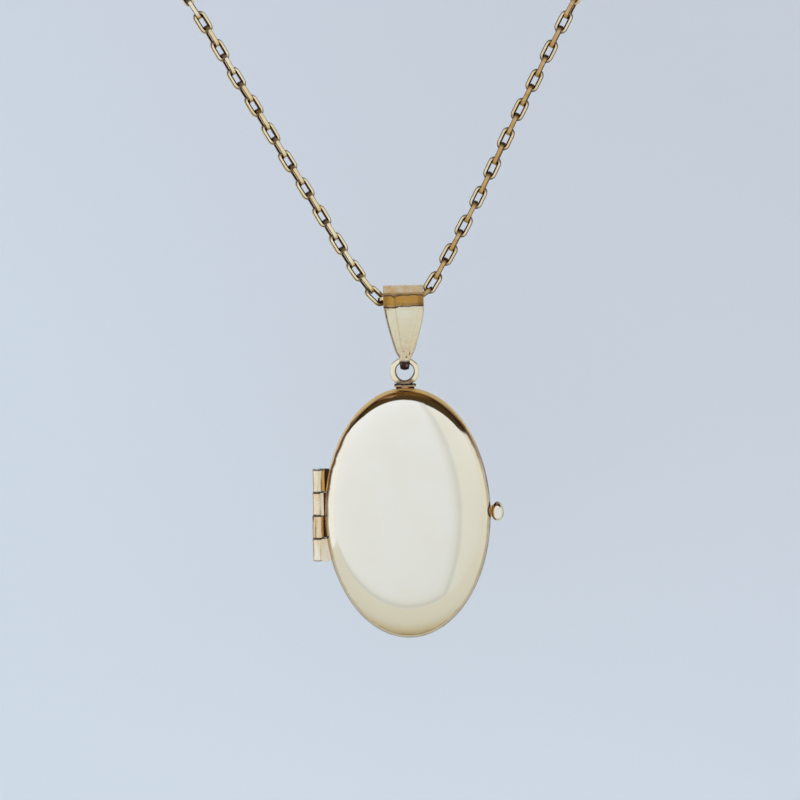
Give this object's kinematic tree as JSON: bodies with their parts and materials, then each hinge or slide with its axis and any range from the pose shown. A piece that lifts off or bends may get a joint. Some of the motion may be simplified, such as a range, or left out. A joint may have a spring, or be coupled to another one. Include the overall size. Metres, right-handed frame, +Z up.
{
  "type": "locket",
  "caption": "Oval hinged locket with domed halves, picture frames and a catch bead, hanging by a folded tapered bail from a cable chain with a spring ring and tag.",
  "frame": {"origin": "the chain's centre inside the bail's upper fold, which is the line the bail swings on", "axes": "+Z up along the hanging locket, -Y out of the front cover, +X towards the catch bead (hinge on -X)"},
  "size_m": [0.0607, 0.006, 0.0894],
  "materials": {
    "gold_case": "mirror-polished pale yellow gold plate",
    "gold_satin": "satin gold plate",
    "gold_hinge": "polished gold plate with a little wear",
    "gold_bail": "polished gold plate with fine scratches",
    "gold_chain": "polished gold plate",
    "card": "matt white card",
    "window": "thin clear plastic film",
    "spring_steel": "bright spring wire"
  },
  "bodies": {
    "neck_chain": {"chain": "gold_chain", "clasp_jump_ring": "gold_chain", "end_jump_ring": "gold_chain"},
    "hanging_bail": {"bail": "gold_bail"},
    "locket_back": {"back_case": "gold_case", "inner_bezel": "gold_satin", "rear_picture_card": "card", "rear_window": "window", "rear_picture_frame": "gold_satin", "case_knuckle_upper": "gold_hinge", "case_knuckle_lower": "gold_hinge", "hinge_pin": "gold_hinge", "catch_bead": "gold_case", "catch_stem": "gold_hinge", "eye_ring": "gold_case", "eye_foot": "gold_hinge"},
    "cover": {"front_cover": "gold_case", "front_picture_card": "card", "front_window": "window", "front_picture_frame": "gold_satin", "cover_knuckle_upper": "gold_hinge", "cover_knuckle_lower": "gold_hinge"},
    "spring_ring": {"clasp_body": "gold_chain", "clasp_eyelet": "gold_chain", "clasp_spring": "spring_steel"},
    "trigger": {"clasp_trigger": "gold_chain"},
    "tag": {"end_tag": "gold_chain"}
  },
  "joints": [
    {"name": "bail_swing", "type": "hinge", "parent": "neck_chain", "child": "hanging_bail", "pos_m": [0, 0, 0], "axis": [1, 0, 0], "range_deg": [-60, 60]},
    {"name": "locket_swing", "type": "hinge", "parent": "hanging_bail", "child": "locket_back", "pos_m": [0, 0, -0.0088], "axis": [0, 1, 0], "range_deg": [-60, 60]},
    {"name": "cover_hinge", "type": "hinge", "parent": "locket_back", "child": "cover", "pos_m": [-0.0108, 0, -0.026], "axis": [0, 0, -1], "range_deg": [0, 170]},
    {"name": "clasp_swing", "type": "hinge", "parent": "neck_chain", "child": "spring_ring", "pos_m": [-0.02794, 0, 0.04105], "axis": [0, 1, 0], "range_deg": [-60, 60]},
    {"name": "trigger_slide", "type": "hinge", "parent": "spring_ring", "child": "trigger", "pos_m": [-0.03021, 0, 0.04468], "axis": [0, 1, 0], "range_deg": [0, 48], "stiffness_Nm_per_rad": 0.0004, "springref_deg": -34.38, "deforming": ["clasp_spring"]},
    {"name": "tag_swing", "type": "hinge", "parent": "neck_chain", "child": "tag", "pos_m": [0.02409, 0, 0.04063], "axis": [0, 1, 0], "range_deg": [-60, 60]}
  ]
}
